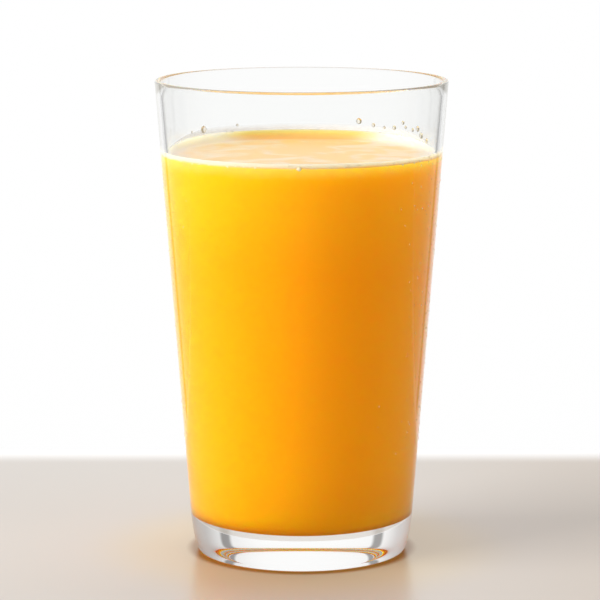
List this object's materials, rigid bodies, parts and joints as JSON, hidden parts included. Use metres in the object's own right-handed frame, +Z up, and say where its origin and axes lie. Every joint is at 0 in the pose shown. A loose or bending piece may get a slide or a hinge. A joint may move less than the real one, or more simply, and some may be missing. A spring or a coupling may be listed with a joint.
{
  "type": "glass of orange juice",
  "caption": "Plain tapered drinking glass with a thick base, filled to a little below its rim with orange juice.",
  "frame": {"origin": "on the glass's axis, at the level that its foot stands on", "axes": "+Z up along the glass's axis; the shape is round, so +X and +Y are any two directions across it"},
  "size_m": [0.0796, 0.0796, 0.13],
  "materials": {
    "glass": "clear, smooth and fire-polished",
    "juice": "cloudy yellow-orange liquid with a wet surface"
  },
  "bodies": {
    "root": {"tumbler": "glass", "orange_juice": "juice"}
  },
  "joints": []
}
